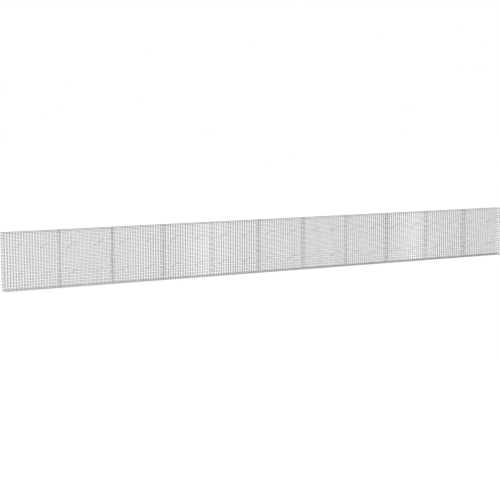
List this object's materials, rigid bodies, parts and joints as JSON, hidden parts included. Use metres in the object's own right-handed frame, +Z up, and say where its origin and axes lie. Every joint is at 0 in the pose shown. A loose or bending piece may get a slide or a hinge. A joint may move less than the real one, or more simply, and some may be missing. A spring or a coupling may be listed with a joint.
{
  "type": "gabion fence",
  "caption": "Straight gabion fence of empty welded wire mesh baskets, open at the top, with mesh dividers, base and spacer ties.",
  "frame": {"origin": "middle of the fence's base, on the ground", "axes": "+X along the fence, -Y front, +Z up"},
  "size_m": [11.005, 0.2186, 1],
  "materials": {
    "mesh_wire": "matt zinc",
    "tie_wire": "matt zinc"
  },
  "bodies": {
    "root": {"front_panel_1": "mesh_wire", "front_panel_2": "mesh_wire", "front_panel_3": "mesh_wire", "front_panel_4": "mesh_wire", "front_panel_5": "mesh_wire", "front_panel_6": "mesh_wire", "front_panel_7": "mesh_wire", "front_panel_8": "mesh_wire", "front_panel_9": "mesh_wire", "front_panel_10": "mesh_wire", "front_panel_11": "mesh_wire", "back_panel_1": "mesh_wire", "back_panel_2": "mesh_wire", "back_panel_3": "mesh_wire", "back_panel_4": "mesh_wire", "back_panel_5": "mesh_wire", "back_panel_6": "mesh_wire", "back_panel_7": "mesh_wire", "back_panel_8": "mesh_wire", "back_panel_9": "mesh_wire", "back_panel_10": "mesh_wire", "back_panel_11": "mesh_wire", "end_panel_left": "mesh_wire", "divider_1": "mesh_wire", "divider_2": "mesh_wire", "divider_3": "mesh_wire", "divider_4": "mesh_wire", "divider_5": "mesh_wire", "divider_6": "mesh_wire", "divider_7": "mesh_wire", "divider_8": "mesh_wire", "divider_9": "mesh_wire", "divider_10": "mesh_wire", "end_panel_right": "mesh_wire", "base_panels": "mesh_wire", "spacer_ties": "tie_wire"}
  },
  "joints": []
}
